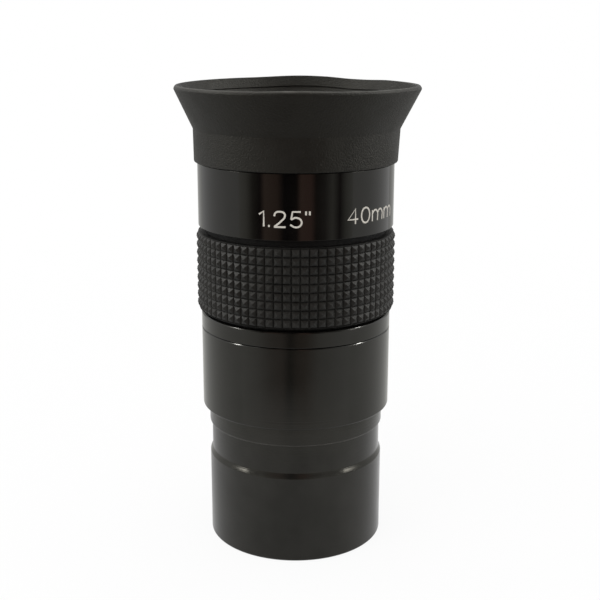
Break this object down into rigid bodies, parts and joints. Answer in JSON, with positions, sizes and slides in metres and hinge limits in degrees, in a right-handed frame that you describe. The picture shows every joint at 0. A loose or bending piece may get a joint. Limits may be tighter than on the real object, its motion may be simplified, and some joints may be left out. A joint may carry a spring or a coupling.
{
  "type": "telescope eyepiece",
  "caption": "Black push-fit telescope eyepiece: grooved barrel, plain drum, knurled rubber grip, lettered band and flared rubber eyecup over a cemented-doublet lens group.",
  "frame": {"origin": "centre of the barrel's open end, on the optical axis", "axes": "+Z along the optical axis towards the eye; -Y is the side that carries the markings"},
  "size_m": [0.0426, 0.0426, 0.0829],
  "materials": {
    "barrel_anodised": "satin black anodised, fine turning lines",
    "housing_anodised": "satin black anodised",
    "housing_gloss": "gloss black",
    "blackened_ring": "matt black",
    "grip_rubber": "matt moulded rubber",
    "eyecup_rubber": "matt moulded rubber",
    "lens_glass": "coated optical glass"
  },
  "bodies": {
    "barrel_body": {"barrel": "barrel_anodised", "field_stop_ring": "blackened_ring"},
    "lower_body": {"lower_housing": "housing_anodised"},
    "lens_body": {"upper_housing": "housing_gloss", "grip_sleeve": "grip_rubber", "lens_retaining_ring": "blackened_ring", "lens_spacer": "blackened_ring", "field_lens_flint": "lens_glass", "field_lens_crown": "lens_glass", "eye_lens_crown": "lens_glass", "eye_lens_flint": "lens_glass"},
    "eyecup_body": {"eyecup": "eyecup_rubber"}
  },
  "joints": [
    {"name": "barrel_thread", "type": "slide", "parent": "barrel_body", "child": "lower_body", "axis": [0, 0, 1], "range_m": [0, 0.006]},
    {"name": "housing_thread", "type": "slide", "parent": "lower_body", "child": "lens_body", "axis": [0, 0, 1], "range_m": [0, 0.0036]},
    {"name": "eyecup_turn", "type": "hinge", "parent": "lens_body", "child": "eyecup_body", "pos_m": [0, 0, 0.07096], "axis": [0, 0, 1], "continuous": true}
  ]
}
